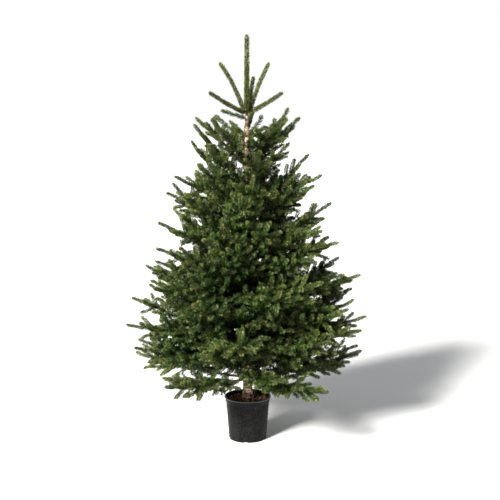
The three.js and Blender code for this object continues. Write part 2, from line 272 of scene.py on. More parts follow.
class Nodes:
    """A material with a Principled shader and short calls for the nodes in front of it."""

    def __init__(self, name, colour=None, roughness=0.6, specular=0.5):
        self.material = bpy.data.materials.new(name)
        self.material.use_nodes = True
        self.tree = self.material.node_tree
        self.shader = self.tree.nodes["Principled BSDF"]
        self.shader.inputs["Roughness"].default_value = roughness
        self.shader.inputs["Specular IOR Level"].default_value = specular
        if colour is not None:
            self.shader.inputs["Base Color"].default_value = (*colour, 1)

    def add(self, kind, **settings):
        """A node. Each setting goes to the socket of that name, or else to the node's own property."""
        node = self.tree.nodes.new(kind)
        for key, value in settings.items():
            if key in node.inputs:
                node.inputs[key].default_value = value
            else:
                setattr(node, key, value)
        return node

    def link(self, out, into):
        self.tree.links.new(out, into)

    def place(self, stretch=(1, 1, 1)):
        """The piece's own coordinates, in metres, stretched."""
        coordinates = self.add("ShaderNodeTexCoord")
        mapping = self.add("ShaderNodeMapping")
        mapping.inputs["Scale"].default_value = stretch
        self.link(coordinates.outputs["Object"], mapping.inputs["Vector"])
        return mapping.outputs["Vector"]

    def noise(self, place, scale, detail=4.0, roughness=0.55):
        node = self.add("ShaderNodeTexNoise", Scale=scale, Detail=detail, Roughness=roughness)
        self.link(place, node.inputs["Vector"])
        return node.outputs["Fac"]

    def ramp(self, factor, stops):
        """A colour ramp. stops are (position, colour) pairs."""
        node = self.add("ShaderNodeValToRGB")
        elements = node.color_ramp.elements
        while len(elements) < len(stops):
            elements.new(0.5)
        for element, (position, colour) in zip(elements, stops):
            element.position = position
            element.color = (*colour, 1)
        self.link(factor, node.inputs["Fac"])
        return node.outputs["Color"]

    def mix(self, factor, a, b, how="MIX"):
        """Two colours mixed. Sockets 6 and 7 are the node's colours."""
        node = self.add("ShaderNodeMix", data_type="RGBA", blend_type=how)
        for value, socket in ((factor, node.inputs[0]), (a, node.inputs[6]), (b, node.inputs[7])):
            if isinstance(value, (int, float, tuple)):
                socket.default_value = value
            else:
                self.link(value, socket)
        return node.outputs[2]

    def span(self, factor, low, high):
        """The factor from 0..1 brought to low..high."""
        node = self.add("ShaderNodeMapRange")
        node.inputs["To Min"].default_value = low
        node.inputs["To Max"].default_value = high
        self.link(factor, node.inputs["Value"])
        return node.outputs["Result"]

    def colour(self, socket):
        self.link(socket, self.shader.inputs["Base Color"])

    def rough(self, socket):
        self.link(socket, self.shader.inputs["Roughness"])

    def bump(self, height, distance, strength=1.0):
        node = self.add("ShaderNodeBump", Strength=strength, Distance=distance)
        self.link(height, node.inputs["Height"])
        self.link(node.outputs["Normal"], self.shader.inputs["Normal"])


def lip_plastic():
    """The pot's lip, smoother and glossier than its wall. Its colour, lighter and bluer than the wall's, is
    painted sheen.
    """
    m = Nodes("pot_lip_gloss_and_painted_sheen", specular=0.55)
    cloud = m.noise(m.place(), 30, 4, 0.6)
    # Painted sheen: the lip's colour is lighter and bluer than the wall's black.
    m.colour(m.ramp(cloud, [(0.35, (0.0030, 0.0032, 0.0038)), (0.65, (0.0110, 0.0118, 0.0140))]))
    m.rough(m.span(cloud, 0.22, 0.42))
    return m.material


def pot_plastic():
    """Black plastic with a fine grain that holds a little dust."""
    m = Nodes("pot_black_plastic", specular=0.05)
    place = m.place()
    cloud = m.noise(place, 22, 6, 0.65)
    grain = m.noise(place, 260, 3, 0.7)
    base = m.ramp(cloud, [(0.38, (0.0006, 0.0006, 0.0007)), (0.62, (0.0050, 0.0051, 0.0055))])
    dusty = m.ramp(grain, [(0.48, (0, 0, 0)), (0.66, (0.060, 0.060, 0.058))])
    m.colour(m.mix(0.40, base, dusty, "ADD"))
    m.rough(m.span(cloud, 0.30, 0.55))
    m.bump(grain, 0.0012, 0.5)
    return m.material


def soil_material():
    m = Nodes("soil_mulch", roughness=0.95, specular=0.2)
    place = m.place()
    lumps = m.noise(place, 120, 8, 0.65)
    peat, loam, fibre = (0.010, 0.006, 0.004), (0.040, 0.022, 0.012), (0.11, 0.06, 0.03)
    m.colour(m.ramp(lumps, [(0.3, peat), (0.55, loam), (0.75, fibre)]))
    m.bump(lumps, 0.004)
    return m.material


def chip_material(name, dark, light):
    m = Nodes(name, roughness=0.85, specular=0.25)
    grain = m.noise(m.place((1, 1, 3)), 160, 6, 0.6)
    m.colour(m.ramp(grain, [(0.3, dark), (0.7, light)]))
    m.bump(grain, 0.0012, 0.7)
    return m.material


def bark_material(name, tan, brown, crack):
    """Thin flaking bark: tan plates with brown edges and dark seams."""
    m = Nodes(name, roughness=0.85, specular=0.25)
    plates = m.noise(m.place((1, 1, 1.5)), 58, 3, 0.5)
    seams = m.noise(m.place((1, 1, 2.6)), 40, 3, 0.6)
    mottle = m.noise(m.place(), 16, 3)
    body = m.ramp(plates, [(0.40, crack), (0.46, brown), (0.54, tan)])
    patches = m.ramp(mottle, [(0.35, brown), (0.65, tan)])
    mixed = m.mix(0.22, body, patches)
    dark = m.ramp(seams, [(0.40, (0.18, 0.13, 0.10)), (0.47, (1, 1, 1))])
    m.colour(m.mix(0.9, mixed, dark, "MULTIPLY"))
    m.rough(m.span(plates, 0.7, 0.95))
    m.bump(plates, 0.0016, 0.8)
    return m.material


# Needle greens, each a plain base colour. Sprays are dealt families, and tufts of needles a shade in them. In
# each family the first shade is painted shade, the second the plain green and the third a painted highlight.
GREENS = {
    # The deep family goes to needles inside the crown: partly older needles, partly painted shade.
    "deep": [(0.007, 0.019, 0.003), (0.021, 0.048, 0.007), (0.055, 0.095, 0.024)],
    "leaf": [(0.015, 0.036, 0.004), (0.045, 0.090, 0.012), (0.112, 0.165, 0.048)],
    "fresh": [(0.032, 0.058, 0.008), (0.096, 0.146, 0.024), (0.185, 0.230, 0.082)],
    "young": [(0.055, 0.064, 0.012), (0.120, 0.136, 0.030), (0.210, 0.215, 0.070)],
}
FAMILIES = list(GREENS)


def needle_material(name, colour):
    """Waxy needles of one plain green, glossier in some places than in others."""
    m = Nodes(name, colour, specular=0.22)
    m.rough(m.span(m.noise(m.place(), 45, 2), 0.38, 0.62))
    return m.material


def needle_materials():
    """Every shade of every family, in the order that needle_tones counts them in."""
    shades = [(family, k) for family in FAMILIES for k in range(len(GREENS[family]))]
    return [needle_material(f"needle_{family}_{k}", GREENS[family][k]) for family, k in shades]


def young_bark(name, tone, scale, roughness):
    """The bark of twigs or the scales of buds: one tone, mottled darker, with a fine relief."""
    m = Nodes(name, roughness=roughness, specular=0.3)
    mottle = m.noise(m.place(), scale, 3)
    m.colour(m.ramp(mottle, [(0.35, tuple(0.6 * c for c in tone)), (0.65, tuple(1.2 * c for c in tone))]))
    m.bump(mottle, 0.0004, 0.6)
    return m.material


def twig_materials():
    tones = [(0.090, 0.042, 0.014), (0.155, 0.078, 0.025), (0.210, 0.112, 0.038)]
    return [young_bark(f"twig_bark_{i}", tone, 160, 0.75) for i, tone in enumerate(tones)]


def bud_materials():
    tones = [(0.060, 0.028, 0.011), (0.130, 0.070, 0.024)]
    return [young_bark(f"bud_scale_{i}", tone, 700, 0.55) for i, tone in enumerate(tones)]


# ---------------- growth


def along(lengths, rows, at):
    """The rows of an axis, read at one length or at several."""
    return np.stack([np.interp(at, lengths, rows[:, k]) for k in range(3)], -1)


class Tree:
    """The axes of the tree as they grow: paths with radii, each with its order, whorl and spray."""

    def __init__(self):
        self.random = np.random.default_rng(SEED)
        self.axes = []
        self.sprays = 0

    def path(self, start, first, last, length, steps):
        """A path whose direction turns from first to last, with a little unevenness."""
        turn = np.linspace(0, 1, steps)[:, None] ** 0.8
        wander = self.random.normal(0, 0.02, (steps, 3)).cumsum(0) * 0.6
        directions = unit(unit(first) * (1 - turn) + unit(last) * turn + wander)
        return np.vstack([start, start + (directions * (length / steps)).cumsum(0)])

    def keep(self, path, foot_radius, order, whorl, spray, bare=0.0, pressed=False, year=0.06):
        """An axis along a path, without needles up to bare, and with even ones all round if it is pressed."""
        lengths = np.concatenate([[0], np.linalg.norm(np.diff(path, axis=0), axis=1).cumsum()])
        share = lengths / lengths[-1]
        radii = TWIG_TIP_RADIUS + (foot_radius - TWIG_TIP_RADIUS) * (1 - share) ** 1.15
        tangents = unit(np.gradient(path, axis=0))
        axis = dict(path=path, lengths=lengths, tangents=tangents, radii=radii, order=order, whorl=whorl)
        axis.update(spray=spray, bare=bare, pressed=pressed, year=year)
        self.axes.append(axis)
        return axis

    def branch(self, axis, order, clear, scale=1.0, shell=LEAFY_SHELL):
        """Side shoots along an axis in pairs, and some above and below it, out to its last year."""
        rule = ORDERS[order]
        total = axis["lengths"][-1]
        last_year = max(rule["last_year"], min(axis["year"], total * 0.45))
        sparseness = SPARSENESS[axis["whorl"]]
        at = total - last_year
        rank = 0
        while at > clear:
            for turn, strength in self.side_turns(rule, rank, sparseness):
                here = at + self.random.uniform(-0.2, 0.2) * rule["spacing"]
                length = SHOOT_SHARE * last_year * ((total - here) / last_year) ** LENGTH_POWER
                length *= strength * scale * self.random.uniform(0.84, 1.14)
                if here >= clear and length >= SHORTEST_SHOOT:
                    self.side_shoot(axis, order, here, turn, length, shell)
            at -= rule["spacing"] * sparseness
            rank += 1

    def side_turns(self, rule, rank, sparseness):
        """The (turn about the axis, strength) of the shoots at one place. Every second place is weaker."""
        strong = 1.0 if rank % 2 == 0 else 0.7
        tilts = np.radians(self.random.normal(rule["tilt"], rule["spread"], 2))
        turns = [(tilts[0], strong), (math.pi - tilts[1], strong)]
        for upright, (chance, strength) in ((math.pi / 2, rule["above"]), (-math.pi / 2, rule["below"])):
            if self.random.uniform() < chance / sparseness**3:
                turns.append((upright + self.random.normal(0, 0.4), strong * strength))
        return turns

    def side_shoot(self, axis, order, here, turn, length, shell):
        """One side shoot, if it ends in the leafy shell and above the crown's lower edge."""
        point = along(axis["lengths"], axis["path"], here)
        tangent = unit(along(axis["lengths"], axis["tangents"], here))
        over, side = cross_frame(tangent)
        angle = math.radians(ORDERS[order]["angle"] + self.random.normal(0, 4))
        outward = side * math.cos(turn) + over * math.sin(turn)
        first = tangent * math.cos(angle) + outward * math.sin(angle)
        end = point + first * length
        too_deep = crown_reach(end[2]) - math.hypot(end[0], end[1]) > shell
        if too_deep or end[2] < lower_edge(end[0], end[1]):
            return
        last = unit(first * 0.78 + tangent * 0.22 + UP * 0.06)
        self.shoot(axis, point, first, last, length, order + 1, shell)

    def shoot(self, parent, point, first, last, length, order, shell):
        """A shoot that bends from its first direction to its last, with side shoots if it is long."""
        steps = max(2, int(math.ceil(length / 0.045)))
        path = self.path(point, first, last, length, steps)
        axis = self.keep(path, TWIG_TIP_RADIUS + 0.010 * length, order, parent["whorl"], parent["spray"])
        if order < len(ORDERS) and length > BRANCHING_LENGTH:
            self.branch(axis, order, max(0.020, 0.16 * length), shell=shell)

    def bough(self, foot, tip, bare, whorl, sag, foot_radius, scale=1.0, year=0.09, shell=LEAFY_SHELL):
        """A bough from the stem to its tip, bare at its foot, and its side shoots: together, one spray."""
        self.sprays += 1
        chord = tip - foot
        length = np.linalg.norm(chord)
        middle = foot + chord * 0.5 + UP * sag * length
        u = np.linspace(0, 1, max(6, int(length / 0.035)))[:, None]
        path = (1 - u) ** 2 * foot + 2 * u * (1 - u) * middle + u**2 * tip
        path[1:-1] += self.random.normal(0, 0.0022, (len(path) - 2, 3))
        x, y, radius = stem(foot[2])
        inward = np.array([x, y, foot[2]]) - foot
        path[0] = foot + unit(inward) * min(0.006, radius * 0.5)
        axis = self.keep(path, foot_radius, 0, whorl, self.sprays, bare=bare, year=year)
        self.branch(axis, 0, max(bare + 0.012, 0.03 * SPARSENESS[whorl] ** 2), scale, shell)


def steepness(height):
    """The angle at which boughs rise from the stem at a height: gentle at the foot, steep at the top."""
    return math.radians(np.interp(height, FOOT_HEIGHTS, RISES))


def lower_edge(x, y):
    """The least height of leafy shoots: lowest along the lowest boughs, and higher between them."""
    turn = math.atan2(y, x)
    nearest = min(abs(math.remainder(turn - lowest, 2 * math.pi)) for lowest in LOWEST_TURNS)
    between = np.clip((nearest - math.radians(12)) / math.radians(20), 0, 1)  # 0 within 12 degrees of a bough
    lift = 0.04 + 0.13 * math.hypot(x, y)
    return FOOT_HEIGHTS[0] - HANG + between * lift


def on_bark(height, turn):
    """The point of the stem's bark at a height and turn, the way out from it, and the stem's radius."""
    out = np.array([math.cos(turn), math.sin(turn), 0.0])
    x, y, radius = stem(height)
    return np.array([x, y, height]) + out * radius, out, radius


def grow_bough(tree, w, height, turn, slope, vigour, leafy_from):
    """A lesser bough of whorl w or of the stem above it, which rises by its slope up to the crown's skin."""
    foot, out, radius = on_bark(height, turn)
    reach = crown_reach(height) * vigour
    for _ in range(6):  # steps that settle where the slope meets the skin
        reach = 0.5 * (reach + crown_reach(height + slope * reach) * vigour)
    tip = foot + out * (reach - radius) + UP * slope * (reach - radius)
    sag = -0.05 + 0.06 * w / (len(WHORLS) - 1)
    year = 0.095 + 0.05 * reach
    tree.bough(foot, tip, leafy_from, w, sag, foot_radius=0.003 + 0.006 * reach, scale=0.9, year=year)


def grow_tree():
    """All axes below the top shoots, whorl by whorl."""
    tree = Tree()
    last = len(WHORLS) - 1
    crown_top = min(cad_points(n)[:, 2].min() for n in TOP_SHOOTS)
    for w in range(len(WHORLS)):
        youth = w / last  # 0 at the lowest whorl, 1 at the highest
        low = FOOT_HEIGHTS[w]
        high = FOOT_HEIGHTS[w + 1] if w < last else crown_top
        grow_strong_boughs(tree, w, youth)
        grow_weak_boughs(tree, w, youth, low, high)
        grow_internode_boughs(tree, w, youth, low, high)
    grow_stem_shoots(tree)
    return tree


def grow_strong_boughs(tree, w, youth):
    """The boughs of a whorl, along the CAD's own."""
    for foot, tip, bare in WHORLS[w]:
        radius = 0.0035 + 0.008 * np.linalg.norm(tip - foot)
        leafy_from = max(0.0, bare - math.hypot(foot[0], foot[1]))
        tree.bough(foot, tip, leafy_from, w, -0.05 + 0.06 * youth, radius, year=0.130 + 0.035 * youth)


def grow_weak_boughs(tree, w, youth, low, high):
    """Lesser boughs in the gaps of a whorl, each a little above the last."""
    random = tree.random
    turns = [math.atan2(tip[1], tip[0]) for _, tip, _ in WHORLS[w]]
    for k in range(WEAK_BOUGHS[w]):
        turn = turns[k] + math.pi / BOUGHS_PER_WHORL + random.normal(0, 0.12)
        height = low + (high - low) * (k + random.uniform(0.2, 0.9)) / BOUGHS_PER_WHORL
        slope = math.tan(steepness(height) + random.normal(0.0, 0.12))
        grow_bough(tree, w, height, turn, slope, random.uniform(0.80, 0.98), 0.03 + 0.05 * (1 - youth))


def grow_internode_boughs(tree, w, youth, low, high):
    """Boughs all up the stem from one whorl to the next, turned by the golden angle."""
    random = tree.random
    count = INTERNODE_BOUGHS[w]
    for k in range(count):
        height = low + (high - low) * (k + random.uniform(0.4, 1.0)) / (count + 0.5)
        height = max(height, FOOT_HEIGHTS[0] + 0.02)
        turn = GOLDEN * (k + sum(INTERNODE_BOUGHS[:w])) + random.normal(0, 0.15)
        slope = math.tan(steepness(height) + random.normal(0.10, 0.13))
        vigour = random.uniform(0.88, 1.03)
        if w == len(WHORLS) - 1:
            # Above the last whorl they are short, and stay under the top shoots.
            vigour = random.uniform(0.40, 0.75)
            slope = min(slope, (high + 0.02 - height) / (vigour * crown_reach(height)))
        grow_bough(tree, w, height, turn, slope, vigour, 0.02 + 0.05 * (1 - youth))


def grow_stem_shoots(tree):
    """Short leafy shoots from the bark, which close the crown round its stem."""
    random = tree.random
    height = FOOT_HEIGHTS[0] + 0.03
    rank = 0
    while height < FOOT_HEIGHTS[-1] - 0.02:
        w = sum(h < height for h in FOOT_HEIGHTS) - 1  # the whorl below
        turn = GOLDEN * rank + random.normal(0, 0.2)
        reach = random.uniform(0.30, 0.55) * crown_reach(height)
        foot, out, _ = on_bark(height, turn)
        tip = foot + out * reach + UP * reach * random.uniform(0.3, 0.9)
        tree.bough(foot, tip, 0.0, w, sag=0.0, foot_radius=0.0032, scale=0.8, year=0.07, shell=1.0)
        height += STEM_SHOOT_SPACING
        rank += 1


def curve_of(node):
    """Foot, tip and bow of a curved CAD shoot: the bow is the middle's offset that fits its corners best."""
    points = cad_points(node)
    foot, tip, _ = foot_and_tip(node)
    chord = tip - foot
    u = np.clip((points - foot) @ chord / (chord @ chord), 0, 1)
    weight = 4 * u * (1 - u)
    off = points - foot - u[:, None] * chord
    return foot, tip, (weight[:, None] * off).sum(0) / (weight**2).sum()


def grow_top(tree):
    """The leader and the year's shoots round it, with even needles all round."""
    top = len(WHORLS)
    for name in TOP_SHOOTS:
        foot, tip, bow = curve_of(name)
        u = np.linspace(0, 1, 10)[:, None]
        path = foot + u * (tip - foot) + 4 * u * (1 - u) * bow
        x, y, _ = stem(foot[2])
        path[0] = path[0] * 0.4 + np.array([x, y, foot[2] - 0.006]) * 0.6
        tree.sprays += 1
        tree.keep(path, 0.0034, 0, top, tree.sprays, pressed=True)
    low = cad_points("leader_needles")[:, 2].min() - 0.02
    heights = np.linspace(low, TREE_TOP - 0.008, 14)
    path = np.array([(*stem(h)[:2], h) for h in heights])
    tree.sprays += 1
    leader = tree.keep(path, 0.0058, 0, top, tree.sprays, pressed=True)
    leader["radii"] = np.array([stem(h)[2] for h in heights])


# ---------------- needles


def segments(tree):
    """The leafy stretches of all axes as columns: ends a and b, their radii (ra, rb) and distances to the
    axis's tip (ta, tb), and what the axis belongs to."""
    columns = {key: [] for key in ("a", "b", "ra", "rb", "ta", "tb", "whorl", "spray", "pressed")}
    for axis in tree.axes:
        lengths = axis["lengths"]
        leafy = lengths[1:] > axis["bare"]
        for kind, rows in (("", axis["path"]), ("r", axis["radii"]), ("t", lengths[-1] - lengths)):
            columns[kind + "a"].append(rows[:-1][leafy])
            columns[kind + "b"].append(rows[1:][leafy])
        for key in ("whorl", "spray", "pressed"):
            columns[key].append(np.full(leafy.sum(), axis[key]))
    return {key: np.concatenate(parts) for key, parts in columns.items()}


def needle_counts(seg):
    """How many needles each stretch bears, and how deep it lies: 0 at the skin and young, 1 inside."""
    length = np.linalg.norm(seg["b"] - seg["a"], axis=1)
    middle = (seg["a"] + seg["b"]) / 2
    away = np.hypot(middle[:, 0], middle[:, 1])
    skin = crown_reach(middle[:, 2])
    depth = np.clip((skin - away - 0.07) / 0.17, 0, 1)  # starts 70 mm inside the skin, full at 240 mm
    from_tip = (seg["ta"] + seg["tb"]) / 2
    age = np.clip((from_tip - 0.12) / 0.25, 0, 1)  # starts 120 mm from the shoot's tip, full at 370 mm
    inner = np.maximum(depth, age * 0.6)
    per_metre = NEEDLE["outer_per_metre"] + (NEEDLE["inner_per_metre"] - NEEDLE["outer_per_metre"]) * inner
    wanted = per_metre * length
    faces = np.where(inner < FOLDED_DEPTH, 2, 1)
    wanted *= min(1.0, NEEDLE_TRIANGLES / (wanted * faces).sum())
    wanted = np.where(seg["pressed"], NEEDLE["outer_per_metre"] * 1.2 * length, wanted)
    return wanted, inner


def spread_needles(seg, wanted, random):
    """Where each needle stands on its stretch, and what it takes over from it, as columns by needle."""
    counts = np.floor(wanted + random.uniform(0, 1, len(wanted))).astype(int)
    s = np.repeat(np.arange(len(counts)), counts)
    start = np.concatenate([[0], counts.cumsum()[:-1]])
    nth = np.arange(len(s)) - start[s]
    u = (nth + random.uniform(0, 1, len(s))) / counts[s]
    table = {key: seg[key][s] for key in ("pressed", "whorl", "spray")}
    for name, a, b in (("base", "a", "b"), ("twig", "ra", "rb"), ("to_tip", "ta", "tb")):
        step = (seg[b] - seg[a])[s]
        table[name] = seg[a][s] + (step.T * u).T
    table["stretch"] = s
    table["tuft"] = (u * counts[s] / TUFT_NEEDLES).astype(int)
    table["tangent"] = unit(seg["b"] - seg["a"])[s]
    return table


def turn_needles(table, random):
    """Adds each needle's turn round the twig, the way outward there, and the way that it points."""
    n = len(table["stretch"])
    tangent, pressed = table["tangent"], table["pressed"]

    # Round the twig: evenly by the golden angle, then parted along its top and drawn up from underneath.
    around = (np.arange(n) * GOLDEN + random.normal(0, 0.25, n) + math.pi) % (2 * math.pi) - math.pi
    combed = around * (1 - 0.16 * (np.abs(around) / math.pi) ** 2)
    combed += 0.34 * np.sign(around) * np.exp(-((around / 0.5) ** 2))
    around = np.where(pressed, around, combed)
    over, side = cross_frame(tangent)
    outward = np.cos(around)[:, None] * over + np.sin(around)[:, None] * side

    # Away from the twig: about 50 degrees, and less for those that close round the bud.
    lean = np.radians(50 + 8 * (np.abs(around) / math.pi)) + random.normal(0, 0.10, n)
    lean = np.where(pressed, np.radians(52) + random.normal(0, 0.08, n), lean)
    near_tip = np.clip(1 - table["to_tip"] / 0.010, 0, 1)
    lean *= 1 - near_tip * random.uniform(0.1, 1.0, n)
    direction = unit(tangent * np.cos(lean)[:, None] + outward * np.sin(lean)[:, None])
    table.update(around=around, outward=outward, direction=direction, near_tip=near_tip)


def needle_corners(table, random):
    """Four corners each: a narrow kite, folded a little along its middle, its flat side mostly outward.

    Of a deep needle only the near half is drawn, twice as wide.
    """
    n = len(table["stretch"])
    direction, outward = table["direction"], table["outward"]
    length = NEEDLE["length"] * random.normal(1, 0.08, n) * (1 - 0.22 * table["near_tip"])
    length *= np.where(table["pressed"], 0.98, 1.0)
    width = NEEDLE["width"] * random.normal(1, 0.1, n) * (1 + 0.35 * table["depth"])
    foot = table["base"] + outward * table["twig"][:, None] * 0.8

    flat = unit(np.cross(direction, outward))
    normal = np.cross(flat, direction)
    roll = random.normal(0, 0.7, n)
    across = (flat * np.cos(roll)[:, None] + normal * np.sin(roll)[:, None]) * (width / 2)[:, None]
    fold = (normal * np.cos(roll)[:, None] - flat * np.sin(roll)[:, None]) * (width * 0.28)[:, None]
    shoulder = foot + direction * (length * NEEDLE["shoulder"])[:, None] - fold
    across *= np.where(table["depth"] < FOLDED_DEPTH, 1, 2)[:, None]
    return np.stack([foot, shoulder - across, foot + direction * length[:, None], shoulder + across], 1)


def needle_tones(table, sprays, random):
    """The material of each needle: its family by spray, age and depth, its shade by the tuft it stands in:
    painted shade, the plain green or a painted highlight.
    """
    n = len(table["stretch"])
    deep, fresh, young = (FAMILIES.index(family) for family in ("deep", "fresh", "young"))
    lightness = random.normal(0, 0.35, sprays + 1)[table["spray"]]
    # Needles far from a shoot's tip or deep in the crown fall to darker families: partly older needles, partly
    # painted shade for the crown's inside.
    youth = 1.9 - 2.2 * np.clip(table["to_tip"] / 0.16, 0, 1) - 1.3 * table["depth"] + lightness
    family = np.clip(np.round(youth + random.normal(0, 0.28, n)), deep, fresh).astype(int)
    family = np.where((table["to_tip"] < YOUNG_LENGTH) & (table["depth"] < 0.5), young, family)
    family = np.where(table["pressed"], random.choice([1, 2, 3], n, p=[0.25, 0.40, 0.35]), family)

    # A tuft is a run of needles on one side of the twig. The primes only mix the tufts up, and a quarter of the
    # needles draw a shade of their own. The shades are painted shade, the plain green and a painted highlight,
    # dealt at random.
    tuft = table["stretch"] * 97 + table["tuft"] * 13 + (table["around"] * 1.2).astype(int)
    shade = random.integers(0, 3, 4099)[tuft % 4099]
    shade = np.where(random.uniform(0, 1, n) < 0.25, random.integers(0, 3, n), shade)
    return family * 3 + shade


def needle_arrays(tree):
    """The corners of all needles, and for each whether it is folded, its whorl and its material."""
    random = np.random.default_rng(SEED + 1)
    seg = segments(tree)
    wanted, depth = needle_counts(seg)
    table = spread_needles(seg, wanted, random)
    table["depth"] = depth[table["stretch"]]
    turn_needles(table, random)
    corners = needle_corners(table, random)
    tones = needle_tones(table, tree.sprays, random)
    return corners, table["depth"] < FOLDED_DEPTH, table["whorl"], tones


def needle_pieces(tree, materials):
    """The needles, joined by whorl into pieces of moderate size."""
    corners, folded, whorl, picks = needle_arrays(tree)
    made = []
    for w in range(whorl.max() + 1):
        chosen = np.nonzero(whorl == w)[0]
        triangles = len(chosen) + folded[chosen].sum()
        parts = np.array_split(chosen, math.ceil(triangles / PIECE_TRIANGLES))
        for k, part in enumerate(parts):
            first = np.arange(len(part))[:, None] * 4
            near_half = first + np.array([0, 2, 1])
            far_half = (first + np.array([0, 3, 2]))[folded[part]]
            faces = np.vstack([near_half, far_half])
            tones = np.concatenate([picks[part], picks[part][folded[part]]])
            name = f"needles_{whorl_label(w)}" + ("" if len(parts) == 1 else f"_{k + 1}")
            made.append((mesh_piece(name, corners[part].reshape(-1, 3), faces, materials, tones), w))
    return made


# ---------------- twigs, buds and limbs


def whorl_label(w):
    return "top" if w == len(WHORLS) else f"whorl_{w + 1}"


def is_limb(axis):
    """Main boughs have bark relief. All other axes are plain twigs."""
    return axis["order"] == 0 and not axis["pressed"]


def twig_pieces(tree, materials):
    """Every shoot thinner than a main bough, as tubes joined by whorl."""
    made = []
    for w in range(len(WHORLS) + 1):
        parts, picks = [], []
        for axis in tree.axes:
            if axis["whorl"] != w or is_limb(axis):
                continue
            skin, _, tip = rings(axis["path"], axis["radii"], 5 if axis["pressed"] else 3)
            parts.append(tube(skin, tip))
            tone = (axis["spray"] + axis["order"]) % len(materials)
            picks.append(np.full(len(parts[-1][1]), tone))
        points, faces = joined(parts)
        name = f"twigs_{whorl_label(w)}"
        made.append((mesh_piece(name, points, faces, materials, np.concatenate(picks), smooth=True), w))
    return made


def bud_size(axis):
    if axis["pressed"]:
        return 0.0040
    return 0.0026 if axis["order"] == 0 else 0.0019


def bud_piece(tree, materials):
    """A pointed bud on the tip of every axis, and two smaller ones beside it on boughs and top shoots."""
    random = np.random.default_rng(SEED + 2)
    parts, picks = [], []
    turn = turns(BUD_SIDES)[:, None]
    for axis in tree.axes:
        end = axis["path"][-1]
        tangent = unit(end - axis["path"][-2])
        _, side = cross_frame(tangent)
        leans = [0.0, 0.9, -0.9] if axis["order"] == 0 else [0.0]
        for lean in leans:
            aim = unit(tangent + side * lean)
            up, across = cross_frame(aim)
            size = bud_size(axis) * (1.0 if lean == 0 else 0.7)
            foot = end - aim * size * 0.5
            belly = foot + aim * size * 1.1 + (np.cos(turn) * up + np.sin(turn) * across) * size
            parts.append(tube(belly[None], foot + aim * size * 3.1, foot))
            picks.append(np.full(2 * BUD_SIDES, int(random.uniform() < 0.5)))
    points, faces = joined(parts)
    return mesh_piece("buds", points, faces, materials, np.concatenate(picks), smooth=True)


def bark_noise(point, scale, depth):
    """Raised plates with narrow seams between them, as a height from 0 to 1."""
    value = noise.turbulence(Vector(point) * scale, depth, False)
    return min(1.0, max(0.0, value * 1.25))


def bark_tube(path, radii, sides, relief, scale):
    """A limb with plates of bark: a fine tube whose skin is pushed in along the seams."""
    skin, ring, tip = rings(path, radii, sides)
    squeeze = np.array([1.0, 1.0, 0.45])  # plates are longer up the limb than round it
    push = np.array([[bark_noise(p * squeeze, scale, 3) for p in row] for row in skin])
    depth = np.minimum(relief, radii * 0.35)
    skin = skin + ring * ((push - 0.6) * depth[:, None])[:, :, None]
    return tube(skin, tip, path[0])


def resampled(axis, step):
    """An axis's path and radii at even steps."""
    lengths = axis["lengths"]
    stops = np.linspace(0, lengths[-1], max(4, int(lengths[-1] / step)))
    return along(lengths, axis["path"], stops), np.interp(stops, lengths, axis["radii"])


def trunk_piece(material):
    """The stem from the soil to the leader's tip: root flare, swellings at the whorls and flaking bark."""
    flare_top = SOIL_TOP + 0.16
    foot = np.linspace(SOIL_TOP, flare_top, 60)
    upper = np.linspace(flare_top, TREE_TOP - 0.003, 330)[1:]
    heights = np.concatenate([foot, upper])
    x, y, radius = stem(heights)
    for height in FOOT_HEIGHTS:
        radius = radius * (1 + 0.16 * np.exp(-(((heights - height) / 0.014) ** 2)))
    points, faces = bark_tube(np.stack([x, y, heights], 1), radius, sides=44, relief=0.0026, scale=85)

    # Root flare: five low lobes that spread at the soil and fade out in a few centimetres.
    above = points[:, 2] - SOIL_TOP
    away = points[:, :2] - np.array([x[0], y[0]])
    turn = np.arctan2(away[:, 1], away[:, 0])
    lobes = 0.13 * np.exp(-above / 0.022) * np.cos(5 * turn + 0.6)
    points[:, :2] += away * lobes[:, None]
    return mesh_piece("trunk_bark", points, faces, [material], smooth=True)


def bough_piece(tree, material):
    """All main boughs, with a collar where each leaves the stem."""
    parts = []
    for axis in tree.axes:
        if is_limb(axis):
            path, radii = resampled(axis, step=0.012)
            collar = 1 + 0.45 * np.exp(-np.linalg.norm(path - path[0], axis=1) / 0.012)
            parts.append(bark_tube(path, radii * collar, sides=7, relief=0.0010, scale=150))
    points, faces = joined(parts)
    return mesh_piece("boughs_bark", points, faces, [material], smooth=True)


# ---------------- pot and soil


def pot_profile(foot, rim, height):
    """The pot's outline as (radius, height), from under its middle up, over the lip and down inside.

    With it, the range of its points that are on the rolled lip.
    """
    lip, wall, band = 0.0048, 0.0022, 0.018  # the lip's radius, the wall's thickness, the band's height
    top_wall = rim - 0.0076
    under_lip = height - 2 * lip
    profile = [(0.0, 0.0035), (foot - 0.012, 0.0035), (foot - 0.010, 0.0)]
    profile += [(foot - 0.0015, 0.0), (foot, 0.0015)]
    for z in np.linspace(0.03, 1, 26) * (under_lip - band):
        profile.append((foot + (top_wall - foot) * z / height, z))
    profile += [(top_wall + 0.0012, under_lip - band + 0.0016), (top_wall + 0.0016, under_lip - 0.001)]
    lip_start = len(profile)
    for angle in np.radians(np.linspace(-70, 100, 12)):
        profile.append((rim - lip + math.cos(angle) * lip, height - lip + math.sin(angle) * lip))
    lip_end = len(profile)
    profile += [(rim - 2 * lip + 0.001, height - 0.0012), (top_wall - wall, height - 0.004)]
    for u in np.linspace(0.9, 0.02, 12):
        profile.append((foot + (top_wall - foot) * u - wall, max(0.006, u * height)))
    profile.append((0.0, 0.0058))
    return np.array(profile), range(lip_start, lip_end)


